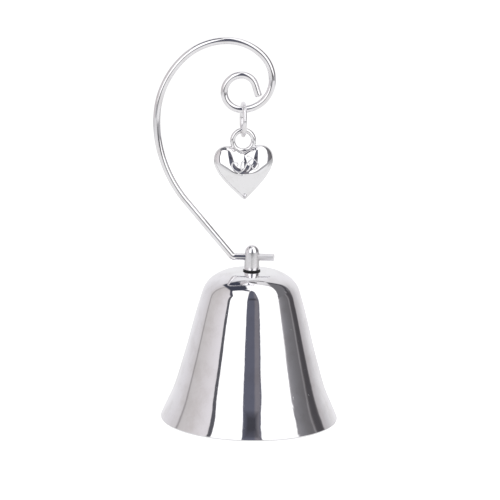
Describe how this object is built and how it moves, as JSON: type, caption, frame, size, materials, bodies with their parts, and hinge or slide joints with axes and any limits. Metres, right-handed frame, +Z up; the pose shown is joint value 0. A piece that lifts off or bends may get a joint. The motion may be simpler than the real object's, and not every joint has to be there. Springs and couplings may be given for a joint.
{
  "type": "table bell with hook card holder",
  "caption": "Flared chrome table bell that stands on its rim, with a cross-drilled crown post, a curled wire hook and a puffed heart charm on a jump ring.",
  "frame": {"origin": "bottom centre of the whole object's box, in the plane of the rim that it stands on; the bell's own axis is the vertical line at x = 1.1 mm", "axes": "+Z up along the bell's axis; -Y towards the viewer; the hook's wire lies in the XZ plane and sweeps out to -X"},
  "size_m": [0.0394, 0.0372, 0.0802],
  "materials": {
    "polished_chrome": "mirror-polished chrome plate on pressed steel",
    "wire_chrome": "bright chrome plate on drawn steel wire",
    "charm_chrome": "mirror-polished plate on a small casting",
    "ball_chrome": "plain bright plate",
    "dull_plate": "dull nickel plate, unpolished",
    "black_fibre": "matt black fibre"
  },
  "bodies": {
    "bell": {"bell_shell": "polished_chrome", "crown_washer": "black_fibre", "crown_post": "polished_chrome", "inner_washer": "dull_plate", "clapper_eye": "dull_plate"},
    "clapper": {"clapper_stem": "dull_plate", "clapper_ball": "ball_chrome"},
    "hook": {"hook_wire": "wire_chrome"},
    "ring": {"jump_ring": "wire_chrome"},
    "charm": {"heart_charm": "charm_chrome"}
  },
  "joints": [
    {"name": "hook_tilt", "type": "hinge", "parent": "bell", "child": "hook", "pos_m": [0.0011, 0, 0.03445], "axis": [1, 0, 0], "range_deg": [-90, 90]},
    {"name": "ring_swing", "type": "hinge", "parent": "hook", "child": "ring", "pos_m": [-0.00123, 0, 0.06535], "axis": [0.9945, 0.1045, 0], "range_deg": [-80, 80]},
    {"name": "charm_swing", "type": "hinge", "parent": "ring", "child": "charm", "pos_m": [-0.00123, 0, 0.06002], "axis": [-0.1045, 0.9945, 0], "range_deg": [-70, 70]},
    {"name": "clapper_swing", "type": "hinge", "parent": "bell", "child": "clapper", "pos_m": [0.0011, 0, 0.0265], "axis": [0, 1, 0], "range_deg": [-30, 30]}
  ]
}
